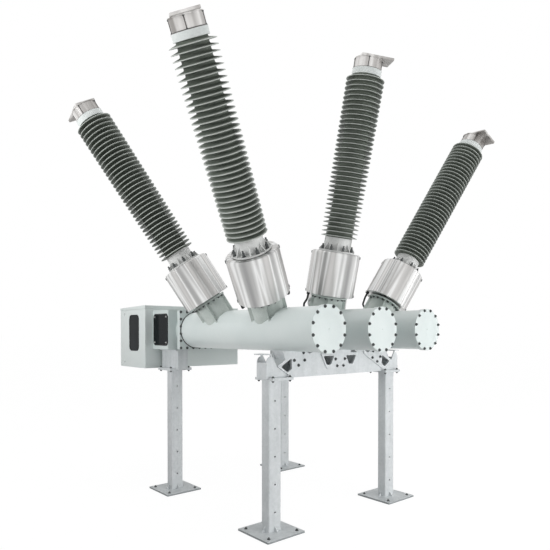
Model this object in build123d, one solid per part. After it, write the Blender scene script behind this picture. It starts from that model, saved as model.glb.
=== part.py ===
from build123d import *
from math import cos, radians, sin, tan
import os

os.makedirs("parts", exist_ok=True)

# Frame: X across the three phases, Y along the tanks, Z up, all in millimetres.
# The tank covers face -Y and the operating cabinet stands at +Y.

# ---- tank axis, which everything above the legs hangs on ----
axis_height = 1975
phase_pitch = 755
fan_left = 30
fan_right = 28.7
lean_left_front = 12.1
lean_middle_front = 13.2
lean_right_front = 12.3
lean_rear = 14.3

# ---- legs ----
leg_spacing_x = 1770
leg_spacing_y = 1870
frame_drop = 475
leg_width_x = 157
leg_width_y = 115
leg_wall = 8
leg_corner = 14
leg_hole_d = 18
leg_hole_count = 5
leg_hole_first = 204
leg_hole_pitch = 270
foot_size = 463
foot_thick = 20
foot_hole_d = 30
foot_hole_inset = 55
foot_rib_height = 60
foot_rib_reach = 45
foot_rib_thick = 10
leg_plate_size = 268
leg_plate_shift = 40
rear_plate_size = 300
leg_plate_thick = 16
plate_hole_d = 18
plate_hole_inset = 26

# ---- front beam ----
beam_half_length = 1007
beam_height = 255
beam_depth = 150
beam_wall = 10
beam_ear_drop = 40
beam_ear_radius = 60
beam_ear_inner = 940
beam_notch_x = 853
beam_notch_rise = 115
beam_toe_thick = 10
lip_reach = 34
lip_inner = 815
lip_rise = 14

# ---- tank feet and the seat plates that they bolt to ----
sole_drop = 246
sole_thick = 16
sole_clearance = 4
seat_top_half = 280
seat_low_half = 200
seat_height = 148
seat_thick = 12
seat_corner = 40
seat_hole_d = 18
seat_upper_half = 72
seat_upper_drop = 49
seat_lower_half = 48
seat_lower_drop = 121
seat_window_inner = 92
seat_window_outer = 250
seat_window_low_inner = 139
seat_window_low_outer = 205
seat_window_gap = 13
seat_window_depth = 93
seat_window_corner = 10
seat_window_bend = 26
foot_web_half = 168
foot_web_top_half = 152
foot_web_thick = 12
foot_rib_count = 3

# ---- tanks ----
tank_radius = 213
tank_wall = 10
tank_front_y = -1560
tank_rear_y = 640
tank_flange_radius = 223
tank_flange_thick = 30
cover_thick = 28
cover_bolt_circle = 209
cover_bolt_count = 12
cover_hole_d = 14
adapter_size = 460
adapter_thick = 60
adapter_neck_inset = 8
adapter_wall = 32

# ---- bushings, measured along their own axis from the tank axis ----
left_port_y = -815
middle_port_y = -768
right_port_y = -792
rear_port_y = 0
ct_start = 394
ct_length = 459
ct_radius = 257
ct_wall = 107
ct_rim = 8
ct_rim_height = 14
neck_radius = 155
neck_wall = 10
neck_gap = 10
neck_flange_radius = 195
neck_flange_thick = 18
neck_rib_radius = 190
neck_rib_count = 4
neck_rib_thick = 14
collar_flange_radius = 190
collar_flange_thick = 16
collar_radius = 137
collar_height = 150
collar_wall = 14
collar_rib_count = 8
collar_rib_thick = 10
collar_rib_height = 93
collar_rib_toe = 22
insulator_length = 1612
insulator_core = 128
insulator_wall = 30
shed_radius = 194
shed_count = 35
shed_root = 20
shed_droop = 3
shed_tip = 6
cap_ring_radius = 148
cap_ring_height = 62
cap_radius = 134
cap_height = 94
cap_plate_radius = 141
cap_plate_thick = 8
cap_rod_radius = 5
cap_rod_count = 4
pad_width = 232
pad_reach = 230
pad_heel = 100
pad_thick = 20
pad_corner = 12
pad_hole_d = 14.3
pad_hole_pitch = 44.5
pad_hole_edge = 28
blank_rise = 22
blank_overhang = 20
blank_thick = 20

# ---- conduits from the transformer housings to the tank ----
conduit_radius = 11
conduit_drop = 48
conduit_bend = 60
conduit_reach = 236
gland_radius = 18
gland_length = 24

# ---- linkage housing and cabinet ----
link_half_length = 1060
link_front_y = 780
link_depth = 400
link_drop = 235
link_height = 480
link_pane_w = 360
link_pane_h = 388
link_pane_from_front = 185
link_pane_corner = 50
bracket_width = 134
bracket_depth = 395
bracket_wall = 8
bracket_plate_thick = 14
bracket_head_overhang = 30
cabinet_left_x = -1160
cabinet_width = 1420
cabinet_depth = 720
cabinet_drop = 476
cabinet_height = 742
cabinet_roof_rise = 16
cabinet_roof_edge = 28
cabinet_roof_lip = 4
window_w = 280
window_h = 462
window_from_front = 317
window_above_base = 212
window_recess = 10
window_corner = 60
window_clearance = 1
pane_thick = 6
latch_radius = 13
latch_reach = 8
latch_inset = 120
latch_low = 62
latch_top_inset = 50
door_thick = 6
door_margin = 40
door_gap = 8
handle_width = 26
handle_height = 150
handle_reach = 34
handle_post = 22
handle_inset = 60

# ---- values that follow from the ones above ----
frame_top = axis_height - frame_drop
link_low = axis_height - link_drop
cabinet_low = axis_height - cabinet_drop
leg_x = leg_spacing_x / 2
leg_y = leg_spacing_y / 2
beam_front_y = -leg_y - beam_depth / 2
beam_rear_y = -leg_y + beam_depth / 2
ear_top = frame_top + beam_height - beam_ear_drop
plate_corner = leg_plate_size / 2 - plate_hole_inset
rear_plate_corner = rear_plate_size / 2 - plate_hole_inset
plate_x = leg_x - leg_plate_shift
seat_top = sole_drop + sole_thick
ct_end = ct_start + ct_length
neck_flange_end = ct_start - neck_gap
collar_end = ct_end + collar_height
insulator_end = collar_end + insulator_length
cap_ring_end = insulator_end + cap_ring_height
cap_end = cap_ring_end + cap_height
pad_base = cap_end + cap_plate_thick
blank_start = tank_radius + blank_rise
shed_pitch = insulator_length / shed_count
link_rear_y = link_front_y + link_depth
bracket_height = link_low - frame_top


def save(shape, name):
    shape.label = name
    export_step(shape, "parts/" + name + ".step")


def rod(radius, length, low=0.0):
    return Pos(0, 0, low + length / 2) * Cylinder(radius, length)


def pipe(radius, wall, length, low=0.0):
    return rod(radius, length, low) - rod(radius - wall, length + 2, low - 1)


def block(size_x, size_y, size_z, x=0.0, y=0.0, z=0.0):
    # a box standing on the height z
    return Pos(x, y, z + size_z / 2) * Box(size_x, size_y, size_z)


def along_y(radius, start, end):
    middle = (start + end) / 2
    return Pos(0, middle, 0) * Rot(90, 0, 0) * Cylinder(radius, end - start)


def hole_y(x, z, diameter, start, end):
    return Pos(x, 0, z) * along_y(diameter / 2, start - 1, end + 1)


def plate_xz(face, start, end):
    # an XZ outline made into a plate between two Y values
    return Pos(0, (start + end) / 2, 0) * extrude(Plane.XZ * face, (end - start) / 2, both=True)


def plate_yz(face, thick):
    return extrude(Plane.YZ * face, thick / 2, both=True)


def phase_place(x, turn):
    # local tank frame (axis through the origin along Y) to the model frame
    return Pos(x, 0, axis_height) * Rot(0, turn, 0)


def port_place(y, lean):
    # a negative lean tips towards the covers, a positive one towards the cabinet
    return Pos(0, y, 0) * Rot(-lean, 0, 0)


phases = {
    "left": (-phase_pitch, -fan_left),
    "middle": (0, 0),
    "right": (phase_pitch, fan_right),
}
ports = {
    "left_front": ("left", left_port_y, -lean_left_front),
    "left_rear": ("left", rear_port_y, lean_rear),
    "middle_front": ("middle", middle_port_y, -lean_middle_front),
    "right_front": ("right", right_port_y, -lean_right_front),
    "right_rear": ("right", rear_port_y, lean_rear),
}
blank_port = ("middle", rear_port_y, 0)


# ---- legs ----
def make_leg(x, y, plate_size, shift):
    height = frame_top - foot_thick - leg_plate_thick
    outer = RectangleRounded(leg_width_x, leg_width_y, leg_corner)
    inner = RectangleRounded(leg_width_x - 2 * leg_wall, leg_width_y - 2 * leg_wall, leg_corner - leg_wall)
    leg = block(foot_size, foot_size, foot_thick)
    leg = leg + Pos(0, 0, foot_thick) * extrude(outer, height)
    plate_z = frame_top - leg_plate_thick
    leg = leg + block(plate_size, plate_size, leg_plate_thick, x=shift, z=plate_z)
    corner = plate_size / 2 - plate_hole_inset
    for side in (-1, 1):
        rib = make_face(Polyline(
            (-side * leg_wall, 0),
            (side * foot_rib_reach, 0),
            (-side * leg_wall, foot_rib_height),
            close=True,
        ))
        leg = leg + Pos(side * leg_width_x / 2, 0, foot_thick) * plate_xz(rib, -foot_rib_thick / 2, foot_rib_thick / 2)
        leg = leg + Pos(0, side * leg_width_y / 2, foot_thick) * plate_yz(rib, foot_rib_thick)
    leg = leg - Pos(0, 0, foot_thick) * extrude(inner, height)
    anchor = foot_size / 2 - foot_hole_inset
    for sx in (-1, 1):
        for sy in (-1, 1):
            leg = leg - Pos(sx * anchor, sy * anchor, 0) * rod(foot_hole_d / 2, foot_thick + 2, -1)
            spot = Pos(shift + sx * corner, sy * corner, 0)
            leg = leg - spot * rod(plate_hole_d / 2, leg_plate_thick + 2, plate_z - 1)
    for i in range(leg_hole_count):
        hole_z = leg_hole_first + i * leg_hole_pitch
        leg = leg - hole_y(0, hole_z, leg_hole_d, -leg_width_y / 2, -leg_width_y / 2 + leg_wall)
    return Pos(x, y, 0) * leg


# the plates of the front legs reach inwards under the beam, and those of the rear legs are centred
save(make_leg(-leg_x, -leg_y, leg_plate_size, leg_plate_shift), "leg_front_left")
save(make_leg(leg_x, -leg_y, leg_plate_size, -leg_plate_shift), "leg_front_right")
save(make_leg(-leg_x, leg_y, rear_plate_size, 0), "leg_rear_left")
save(make_leg(leg_x, leg_y, rear_plate_size, 0), "leg_rear_right")


# ---- seat plates: a trapezoid under each tank, with a window on each side of its bolted tab ----
def seat_outline():
    outline = make_face(Polyline(
        (-seat_top_half, -seat_top),
        (seat_top_half, -seat_top),
        (seat_low_half, -seat_top - seat_height),
        (-seat_low_half, -seat_top - seat_height),
        close=True,
    ))
    low_corners = outline.vertices().sort_by(Axis.Y)[0:2]
    return fillet(low_corners, seat_corner)


def seat_window(side):
    top = -seat_top - seat_window_gap
    window = make_face(Polyline(
        (side * seat_window_inner, top),
        (side * seat_window_outer, top),
        (side * seat_window_low_outer, top - seat_window_depth),
        (side * seat_window_low_inner, top - seat_window_depth),
        close=True,
    ))
    corners = window.vertices().sort_by(Axis.Y)
    window = fillet(corners[0:2], seat_window_bend)
    top_corners = window.vertices().sort_by(Axis.Y)[-2:]
    return fillet(top_corners, seat_window_corner)


seat_bolts = [
    (-seat_upper_half, -seat_top - seat_upper_drop),
    (seat_upper_half, -seat_top - seat_upper_drop),
    (-seat_lower_half, -seat_top - seat_lower_drop),
    (seat_lower_half, -seat_top - seat_lower_drop),
]


# ---- front beam: two webs on a base, with rounded ears and a notch for each outer foot ----
def make_web(start, end):
    beam_top = frame_top + beam_height
    notch_low = frame_top + beam_notch_rise
    web = make_face(Polyline(
        (-beam_half_length, frame_top),
        (beam_half_length, frame_top),
        (beam_half_length, ear_top),
        (beam_ear_inner, ear_top),
        (beam_notch_x, notch_low),
        (beam_notch_x, beam_top),
        (-beam_notch_x, beam_top),
        (-beam_notch_x, notch_low),
        (-beam_ear_inner, ear_top),
        (-beam_half_length, ear_top),
        close=True,
    ))
    for side in (-1, 1):
        tip = web.vertices().sort_by_distance((side * beam_half_length, ear_top))[0]
        web = fillet(tip, beam_ear_radius)
    return plate_xz(web, start, end)


def make_sole_space():
    # the room above each sole, with a little clearance, cut out of both webs
    half = seat_top_half + sole_clearance
    room = make_face(Polyline(
        (-half, -seat_top),
        (half, -seat_top),
        (half, 0),
        (-half, 0),
        close=True,
    ))
    return plate_xz(room, beam_front_y - 1, beam_rear_y + 1)


beam = make_web(beam_front_y, beam_front_y + beam_wall)
beam = beam + make_web(beam_rear_y - beam_wall, beam_rear_y)
beam = beam + block(2 * beam_half_length, beam_depth, beam_wall, y=-leg_y, z=frame_top)
for side in (-1, 1):
    cheek_x = side * (beam_half_length - beam_wall / 2)
    cheek_height = ear_top - beam_ear_radius - frame_top
    beam = beam + block(beam_wall, beam_depth, cheek_height, x=cheek_x, y=-leg_y, z=frame_top)
    beam = beam + block(leg_plate_size, leg_plate_size, beam_toe_thick, x=side * plate_x, y=-leg_y, z=frame_top)
    # a flat lip lies over both ears, from past the end of the beam to beside the foot
    lip_length = beam_half_length + lip_reach - lip_inner
    lip_x = side * (lip_inner + lip_length / 2)
    beam = beam + block(lip_length, beam_depth, beam_wall, x=lip_x, y=-leg_y, z=ear_top + lip_rise)
    post_x = side * (beam_ear_inner + beam_wall)
    for post_y in (beam_front_y + beam_wall / 2, beam_rear_y - beam_wall / 2):
        beam = beam + block(beam_wall * 2, beam_wall, lip_rise, x=post_x, y=post_y, z=ear_top)
for side in (-1, 1):
    for hx in (-1, 1):
        for hy in (-1, 1):
            spot = Pos(side * plate_x + hx * plate_corner, -leg_y + hy * plate_corner, 0)
            beam = beam - spot * rod(plate_hole_d / 2, beam_wall + 2, frame_top - 1)
seats = []
for x, turn in phases.values():
    place = phase_place(x, turn)
    beam = beam - place * make_sole_space()
    for side in (-1, 1):
        beam = beam - place * plate_xz(seat_window(side), beam_front_y - 1, beam_rear_y + 1)
    for bolt_x, bolt_z in seat_bolts:
        beam = beam - place * hole_y(bolt_x, bolt_z, seat_hole_d, beam_front_y, beam_rear_y)
    for start, end in (
        (beam_front_y - seat_thick, beam_front_y),
        (beam_rear_y, beam_rear_y + seat_thick),
    ):
        seat = plate_xz(seat_outline(), start, end)
        for side in (-1, 1):
            seat = seat - plate_xz(seat_window(side), start - 1, end + 1)
        for bolt_x, bolt_z in seat_bolts:
            seat = seat - hole_y(bolt_x, bolt_z, seat_hole_d, start, end)
        seats.append(place * seat)
save(beam, "front_beam")
save(Compound(children=seats), "beam_seats")


# ---- tank feet: a flat sole and cross webs under each barrel ----
def make_foot():
    start = beam_front_y - seat_thick
    end = beam_rear_y + seat_thick
    depth = end - start
    foot = block(2 * seat_top_half, depth, sole_thick, y=-leg_y, z=-seat_top)
    web = make_face(Polyline(
        (-foot_web_half, -sole_drop),
        (foot_web_half, -sole_drop),
        (foot_web_top_half, -tank_radius * cos(radians(45))),
        (-foot_web_top_half, -tank_radius * cos(radians(45))),
        close=True,
    ))
    foot = foot + plate_xz(web, start, start + foot_web_thick)
    foot = foot + plate_xz(web, end - foot_web_thick, end)
    rib_height = sole_drop - tank_radius * cos(radians(45))
    for i in range(foot_rib_count):
        spread = foot_web_top_half - foot_web_thick / 2
        rib_x = -spread + 2 * spread * i / (foot_rib_count - 1)
        foot = foot + block(foot_web_thick, depth, rib_height, x=rib_x, y=-leg_y, z=-sole_drop)
    return foot - along_y(tank_radius, start - 1, end + 1)


feet = []
for x, turn in phases.values():
    feet.append(phase_place(x, turn) * make_foot())
save(Compound(children=feet), "tank_feet")


# ---- barrels, covers, adapters ----
def make_barrel(port_list):
    barrel = along_y(tank_radius, tank_front_y, tank_rear_y)
    barrel = barrel + along_y(tank_flange_radius, tank_front_y, tank_front_y + tank_flange_thick)
    barrel = barrel - along_y(tank_radius - tank_wall, tank_front_y - 1, tank_rear_y + 1)
    for y, lean in port_list:
        barrel = barrel - port_place(y, lean) * rod(neck_radius - neck_wall, ct_start)
    return barrel


def make_cover():
    start = tank_front_y - cover_thick
    cover = along_y(tank_flange_radius, start, tank_front_y)
    for i in range(cover_bolt_count):
        angle = radians(360 / cover_bolt_count * (i + 0.5))
        hole_x = cover_bolt_circle * sin(angle)
        hole_z = cover_bolt_circle * cos(angle)
        cover = cover - hole_y(hole_x, hole_z, cover_hole_d, start, tank_front_y)
    return cover


def make_adapter():
    plate = Pos(0, tank_rear_y + adapter_thick / 2, 0) * Box(adapter_size, adapter_thick, adapter_size)
    outer = tank_radius - adapter_neck_inset
    neck = along_y(outer, tank_rear_y + adapter_thick, link_front_y)
    bore = along_y(outer - adapter_wall, tank_rear_y - 1, link_front_y + 1)
    return plate + neck - bore


adapters = []
port_lists = {name: [] for name in phases}
for phase, y, lean in list(ports.values()) + [blank_port]:
    port_lists[phase].append((y, lean))
for name, (x, turn) in phases.items():
    place = phase_place(x, turn)
    save(place * make_barrel(port_lists[name]), "tank_barrel_" + name)
    save(Pos(x, 0, axis_height) * make_cover(), "tank_cover_" + name)
    adapters.append(Pos(x, 0, axis_height) * make_adapter())
save(Compound(children=adapters), "tank_adapters")


# ---- necks ----
def make_neck():
    rib_height = neck_flange_end - neck_flange_thick / 2
    neck = rod(neck_radius, ct_start)
    neck = neck + rod(neck_flange_radius, neck_flange_thick, neck_flange_end - neck_flange_thick)
    for i in range(neck_rib_count):
        rib_length = neck_rib_radius - neck_radius + neck_wall
        rib_middle = neck_rib_radius - rib_length / 2
        rib = block(rib_length, neck_rib_thick, rib_height, x=rib_middle)
        neck = neck + Rot(0, 0, 360 / neck_rib_count * (i + 0.5)) * rib
    return neck - rod(neck_radius - neck_wall, ct_start + 2, -1)


def cut_to_tank(shape):
    return shape - along_y(tank_radius, tank_front_y, tank_rear_y)


necks = []
for phase, y, lean in ports.values():
    x, turn = phases[phase]
    necks.append(phase_place(x, turn) * cut_to_tank(port_place(y, lean) * make_neck()))
phase, y, lean = blank_port
x, turn = phases[phase]
blank_place = phase_place(x, turn) * port_place(y, lean)
blank_neck = pipe(neck_radius, neck_wall, blank_start)
necks.append(phase_place(x, turn) * cut_to_tank(port_place(y, lean) * blank_neck))
save(Compound(children=necks), "bushing_necks")
save(blank_place * rod(neck_radius + blank_overhang, blank_thick, blank_start), "blank_cover")


# ---- current transformer housings, collars, insulators, caps ----
def make_ct():
    can = rod(ct_radius, ct_length, ct_start)
    can = can + rod(ct_radius + ct_rim, ct_rim_height, ct_start)
    can = can + rod(ct_radius + ct_rim, ct_rim_height, ct_end - ct_rim_height)
    return can - rod(ct_radius - ct_wall, ct_length + 2, ct_start - 1)


def make_collar():
    flange = rod(collar_flange_radius, collar_flange_thick, ct_end)
    tube = rod(collar_radius, collar_height, ct_end)
    collar = flange + tube
    rib = make_face(Polyline(
        (collar_radius - collar_wall / 2, 0),
        (collar_flange_radius, 0),
        (collar_flange_radius, collar_rib_toe),
        (collar_radius, collar_rib_height),
        (collar_radius - collar_wall / 2, collar_rib_height),
        close=True,
    ))
    for i in range(collar_rib_count):
        turn = Rot(0, 0, 360 / collar_rib_count * i)
        collar = collar + turn * Pos(0, 0, ct_end) * plate_xz(rib, -collar_rib_thick / 2, collar_rib_thick / 2)
    return collar - rod(collar_radius - collar_wall, collar_height + 2, ct_end - 1)


def make_insulator():
    bore = insulator_core - insulator_wall
    points = [(bore, collar_end), (insulator_core, collar_end)]
    for i in range(shed_count):
        middle = collar_end + (i + 0.5) * shed_pitch
        rim = middle - shed_root / 2 - shed_droop
        points.append((insulator_core, middle - shed_root / 2))
        points.append((shed_radius, rim))
        points.append((shed_radius, rim + shed_tip))
        points.append((insulator_core, middle + shed_root / 2))
    points.append((insulator_core, insulator_end))
    points.append((bore, insulator_end))
    return revolve(Plane.XZ * make_face(Polyline(*points, close=True)), Axis.Z)


def make_cap(turn):
    cap = rod(cap_ring_radius, cap_ring_height, insulator_end)
    cap = cap + rod(cap_radius, cap_height, cap_ring_end)
    cap = cap + rod(cap_plate_radius, cap_plate_thick, cap_end)
    for i in range(cap_rod_count):
        angle = 360 / cap_rod_count * (i + 0.5)
        stud = Pos(cap_radius + cap_rod_radius / 2, 0, 0) * rod(cap_rod_radius, cap_height, cap_ring_end)
        cap = cap + Rot(0, 0, angle) * stud
    # the terminal pad lies flat on the cap and reaches out to one side
    pad_length = pad_reach + pad_heel
    outline = Pos(pad_reach - pad_length / 2, 0) * RectangleRounded(pad_length, pad_width, pad_corner)
    pad = extrude(outline, pad_thick)
    hole_middle = pad_reach - pad_hole_edge - pad_hole_pitch / 2
    for hx in (-1, 1):
        for hy in (-1, 1):
            spot = Pos(hole_middle + hx * pad_hole_pitch / 2, hy * pad_hole_pitch / 2, 0)
            pad = pad - spot * rod(pad_hole_d / 2, pad_thick + 2, -1)
    return cap + Rot(0, 0, turn) * Pos(0, 0, pad_base) * pad


# which way each terminal pad points, as an angle round its own bushing
pad_turns = {
    "left_front": -127,
    "left_rear": 90,
    "middle_front": -34,
    "right_front": -96,
    "right_rear": 90,
}
collars = []
for name, (phase, y, lean) in ports.items():
    x, turn = phases[phase]
    place = phase_place(x, turn) * port_place(y, lean)
    save(place * make_ct(), "ct_housing_" + name)
    collars.append(place * make_collar())
    save(place * make_insulator(), "insulator_" + name)
    save(place * make_cap(pad_turns[name]), "terminal_cap_" + name)
save(Compound(children=collars), "bushing_collars")


# ---- conduits: from a gland under each housing, beside the neck, to a gland on the tank ----
def around(reach, angle, height):
    return (reach * cos(radians(angle)), reach * sin(radians(angle)), height)


def tank_surface(y, lean, reach, angle):
    # height, along the bushing's axis, at which a line beside the neck meets the tank
    px, py, _ = around(reach, angle, 0)
    return ((tank_radius**2 - px**2) ** 0.5 + py * sin(radians(lean))) / cos(radians(lean))


def bend_radii(points):
    # the largest tangent arc that the two runs at each corner leave room for
    radii = []
    for before, corner, after in zip(points, points[1:], points[2:]):
        run_in = Vector(*corner) - Vector(*before)
        run_out = Vector(*after) - Vector(*corner)
        half_turn = radians(run_in.get_angle(run_out)) / 2
        room = 0.45 * min(run_in.length, run_out.length)
        radii.append(min(conduit_bend, room / tan(half_turn)))
    return radii


# housing, angle and reach at the housing, angle and reach at the tank
conduit_routes = [
    ("left_front", -34, conduit_reach + 8, 64, 232),
    ("left_front", 142, conduit_reach, 72, 244),
    ("middle_front", 152, conduit_reach, 126, 252),
    ("right_front", 146, conduit_reach, 70, 244),
]
conduits = []
glands = []
for name, top_angle, top_reach, low_angle, low_reach in conduit_routes:
    phase, y, lean = ports[name]
    x, turn = phases[phase]
    place = phase_place(x, turn) * port_place(y, lean)
    top = ct_start - gland_length
    low = tank_surface(y, lean, low_reach, low_angle) + gland_length
    knee = top - conduit_drop
    ankle = low + (knee - low) * 0.3
    middle_reach = (top_reach + low_reach) / 2 + conduit_radius
    points = [
        around(top_reach, top_angle, top),
        around(top_reach, top_angle, knee),
        around(middle_reach, (top_angle + low_angle) / 2, (knee + ankle) / 2),
        around(low_reach, low_angle, ankle),
        around(low_reach, low_angle, low),
    ]
    radii = bend_radii(points)
    path = FilletPolyline(*points, radius=radii)
    print(name, "conduit", round(path.length), "mm, bend radii", [round(radius) for radius in radii])
    tube = sweep(Plane(origin=path @ 0, z_dir=path % 0) * Circle(conduit_radius), path)
    conduits.append(place * tube)
    gland = Pos(*around(top_reach, top_angle, 0)) * rod(gland_radius, gland_length, top)
    glands.append(place * gland)
    foot = Pos(*around(low_reach, low_angle, 0)) * rod(gland_radius, 2 * gland_length, low - 2 * gland_length)
    glands.append(phase_place(x, turn) * cut_to_tank(port_place(y, lean) * foot))
save(Compound(children=conduits), "conduit_tubes")
save(Compound(children=glands), "conduit_glands")


# ---- linkage housing across the three tanks ----
link_y = link_front_y + link_depth / 2
save(block(2 * link_half_length, link_depth, link_height, y=link_y, z=link_low), "linkage_housing")


def make_pane(width, height, corner):
    return plate_yz(RectangleRounded(width, height, corner), pane_thick)


link_panes = []
for side in (-1, 1):
    pane_x = side * (link_half_length + pane_thick / 2)
    pane = Pos(pane_x, link_front_y + link_pane_from_front, link_low + link_height / 2)
    link_panes.append(pane * make_pane(link_pane_w, link_pane_h, link_pane_corner))
save(Compound(children=link_panes), "linkage_windows")

# ---- rear brackets between the rear legs and the linkage housing ----
brackets = []
for side in (-1, 1):
    bracket = block(bracket_width, bracket_depth, bracket_height, z=frame_top)
    core_x = bracket_width - 2 * bracket_wall
    core_y = bracket_depth - 2 * bracket_wall
    bracket = bracket - block(core_x, core_y, bracket_height + 2, z=frame_top - 1)
    bracket = bracket + block(rear_plate_size, rear_plate_size, bracket_plate_thick, z=frame_top)
    head_width = bracket_width + 2 * bracket_head_overhang
    head_z = link_low - bracket_plate_thick
    bracket = bracket + block(head_width, bracket_depth, bracket_plate_thick, z=head_z)
    for hx in (-1, 1):
        for hy in (-1, 1):
            spot = Pos(hx * rear_plate_corner, hy * rear_plate_corner, 0)
            bracket = bracket - spot * rod(plate_hole_d / 2, bracket_plate_thick + 2, frame_top - 1)
    brackets.append(Pos(side * leg_x, leg_y, 0) * bracket)
save(Compound(children=brackets), "rear_brackets")

# ---- operating cabinet ----
cabinet_x = cabinet_left_x + cabinet_width / 2
cabinet_y = link_rear_y + cabinet_depth / 2
cabinet_rear_y = link_rear_y + cabinet_depth
window_y = link_rear_y + window_from_front
window_z = cabinet_low + window_above_base + window_h / 2
body = block(cabinet_width, cabinet_depth, cabinet_height, x=cabinet_x, y=cabinet_y, z=cabinet_low)
recess = plate_yz(RectangleRounded(window_w, window_h, window_corner), 2 * window_recess)
body = body - Pos(cabinet_left_x, window_y, window_z) * recess
save(body, "cabinet_body")
roof_front = -cabinet_depth / 2
roof_rear = cabinet_depth / 2 + cabinet_roof_lip
roof_outline = make_face(Polyline(
    (roof_front, 0),
    (roof_rear, 0),
    (roof_rear, cabinet_roof_edge),
    (roof_front, cabinet_roof_edge + cabinet_roof_rise),
    close=True,
))
roof = plate_yz(roof_outline, cabinet_width + 2 * cabinet_roof_lip)
save(Pos(cabinet_x, cabinet_y, cabinet_low + cabinet_height) * roof, "cabinet_roof")
pane_w = window_w - 2 * window_clearance
pane_h = window_h - 2 * window_clearance
pane = make_pane(pane_w, pane_h, window_corner - window_clearance)
pane_x = cabinet_left_x + window_recess - pane_thick / 2
save(Pos(pane_x, window_y, window_z) * pane, "cabinet_window")

latches = []
for height in (latch_low, cabinet_height - latch_top_inset):
    latch = Rot(0, -90, 0) * rod(latch_radius, latch_reach)
    latches.append(Pos(cabinet_left_x, cabinet_rear_y - latch_inset, cabinet_low + height) * latch)
save(Compound(children=latches), "cabinet_latches")

doors = []
handles = []
door_w = cabinet_width / 2 - door_margin - door_gap / 2
door_h = cabinet_height - 2 * door_margin
for side in (-1, 1):
    door_x = cabinet_x + side * (door_gap / 2 + door_w / 2)
    door_y = cabinet_rear_y + door_thick / 2
    doors.append(block(door_w, door_thick, door_h, x=door_x, y=door_y, z=cabinet_low + door_margin))
    handle_x = cabinet_x + side * (door_gap / 2 + handle_inset)
    handle_z = cabinet_low + cabinet_height / 2 - handle_height / 2
    grip_y = cabinet_rear_y + door_thick + handle_reach - handle_width / 4
    grip = block(handle_width, handle_width / 2, handle_height, x=handle_x, y=grip_y, z=handle_z)
    for end in (-1, 1):
        post_z = handle_z + handle_height / 2 + end * (handle_height / 2 - handle_post) - handle_post / 2
        post_y = cabinet_rear_y + door_thick + handle_reach / 2
        grip = grip + block(handle_post, handle_reach, handle_post, x=handle_x, y=post_y, z=post_z)
    handles.append(grip)
save(Compound(children=doors), "cabinet_doors")
save(Compound(children=handles), "door_handles")
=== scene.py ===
import bpy
from itertools import product
from math import radians
from mathutils import Matrix, Vector


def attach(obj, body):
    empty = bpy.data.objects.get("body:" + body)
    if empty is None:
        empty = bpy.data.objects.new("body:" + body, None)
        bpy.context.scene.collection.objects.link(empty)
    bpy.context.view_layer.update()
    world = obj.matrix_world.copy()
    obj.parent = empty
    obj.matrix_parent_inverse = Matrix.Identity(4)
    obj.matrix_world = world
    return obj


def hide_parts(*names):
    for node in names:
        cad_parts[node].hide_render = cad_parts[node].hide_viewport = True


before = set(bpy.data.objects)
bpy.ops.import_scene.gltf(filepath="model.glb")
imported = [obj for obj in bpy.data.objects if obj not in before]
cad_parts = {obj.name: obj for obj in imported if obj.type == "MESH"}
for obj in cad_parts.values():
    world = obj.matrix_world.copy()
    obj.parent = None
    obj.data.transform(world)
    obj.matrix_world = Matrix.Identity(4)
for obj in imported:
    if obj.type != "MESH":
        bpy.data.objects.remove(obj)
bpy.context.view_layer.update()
print("frame loaded")

# where the three tanks and the five bushings stand, in metres and degrees:
# a tank has its x and its fan, a port its tank, its place along the tank and its lean
layout = {
    "axisHeight": 1.975,
    "tanks": {"left": (-0.755, -30), "middle": (0, 0), "right": (0.755, 28.7)},
    "bushings": {
        "left_front": ("left", -0.815, -12.1),
        "left_rear": ("left", 0, 14.3),
        "middle_front": ("middle", -0.768, -13.2),
        "right_front": ("right", -0.792, -12.3),
        "right_rear": ("right", 0, 14.3),
    },
    "blank": ("middle", 0, 0),
}


def moved(x, y, z):
    return Matrix.Translation((x, y, z))


def turned(angle, axis):
    return Matrix.Rotation(radians(angle), 4, axis)


upsideDown = turned(180, "X")
faceFront = turned(90, "X")  # takes +Z to -Y
faceBack = turned(-90, "X")


def tankPlace(tank, fanned=True):
    x, fan = layout["tanks"][tank]
    place = moved(x, 0, layout["axisHeight"])
    return place @ turned(fan, "Y") if fanned else place


def portPlace(port):
    tank, y, lean = port
    return tankPlace(tank) @ moved(0, y, 0) @ turned(-lean, "X")


bushingPlaces = {name: portPlace(port) for name, port in layout["bushings"].items()}
weldGap = 0.00002  # points nearer than this are one point
levelGap = 0.0001  # a point this near to a level lies on it


def cadNode(name):
    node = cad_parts[name]
    return bpy.data.objects[node] if isinstance(node, str) else node


def pickOnly(*pieces):
    bpy.ops.object.select_all(action="DESELECT")
    for piece in pieces:
        piece.select_set(True)
    bpy.context.view_layer.objects.active = pieces[0]


def editing(on):
    bpy.ops.object.mode_set(mode="EDIT" if on else "OBJECT")


def bakePlace(piece):
    pickOnly(piece)
    bpy.ops.object.transform_apply(location=True, rotation=True, scale=True)


def smooth(piece, angle):
    pickOnly(piece)
    bpy.ops.object.shade_smooth_by_angle(angle=radians(angle))


def rememberPlace(piece, place=None, patternTurn=0):
    # each point keeps its place in the piece's own frame, for the patterns to follow
    back = place.inverted() if place else Matrix.Identity(4)
    back = turned(patternTurn, "Z") @ back
    own = piece.data.attributes.new("own", "FLOAT_VECTOR", "POINT")
    spots = []
    for vertex in piece.data.vertices:
        spots.extend(back @ vertex.co)
    own.data.foreach_set("vector", spots)


def pickFaces(piece, test):
    # selects the faces whose centre and normal pass the test, and leaves edit mode on
    pickOnly(piece)
    editing(True)
    bpy.ops.mesh.select_mode(type="FACE")
    bpy.ops.mesh.select_all(action="DESELECT")
    editing(False)
    for face in piece.data.polygons:
        face.select = test(face.center, face.normal)
    editing(True)


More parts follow.
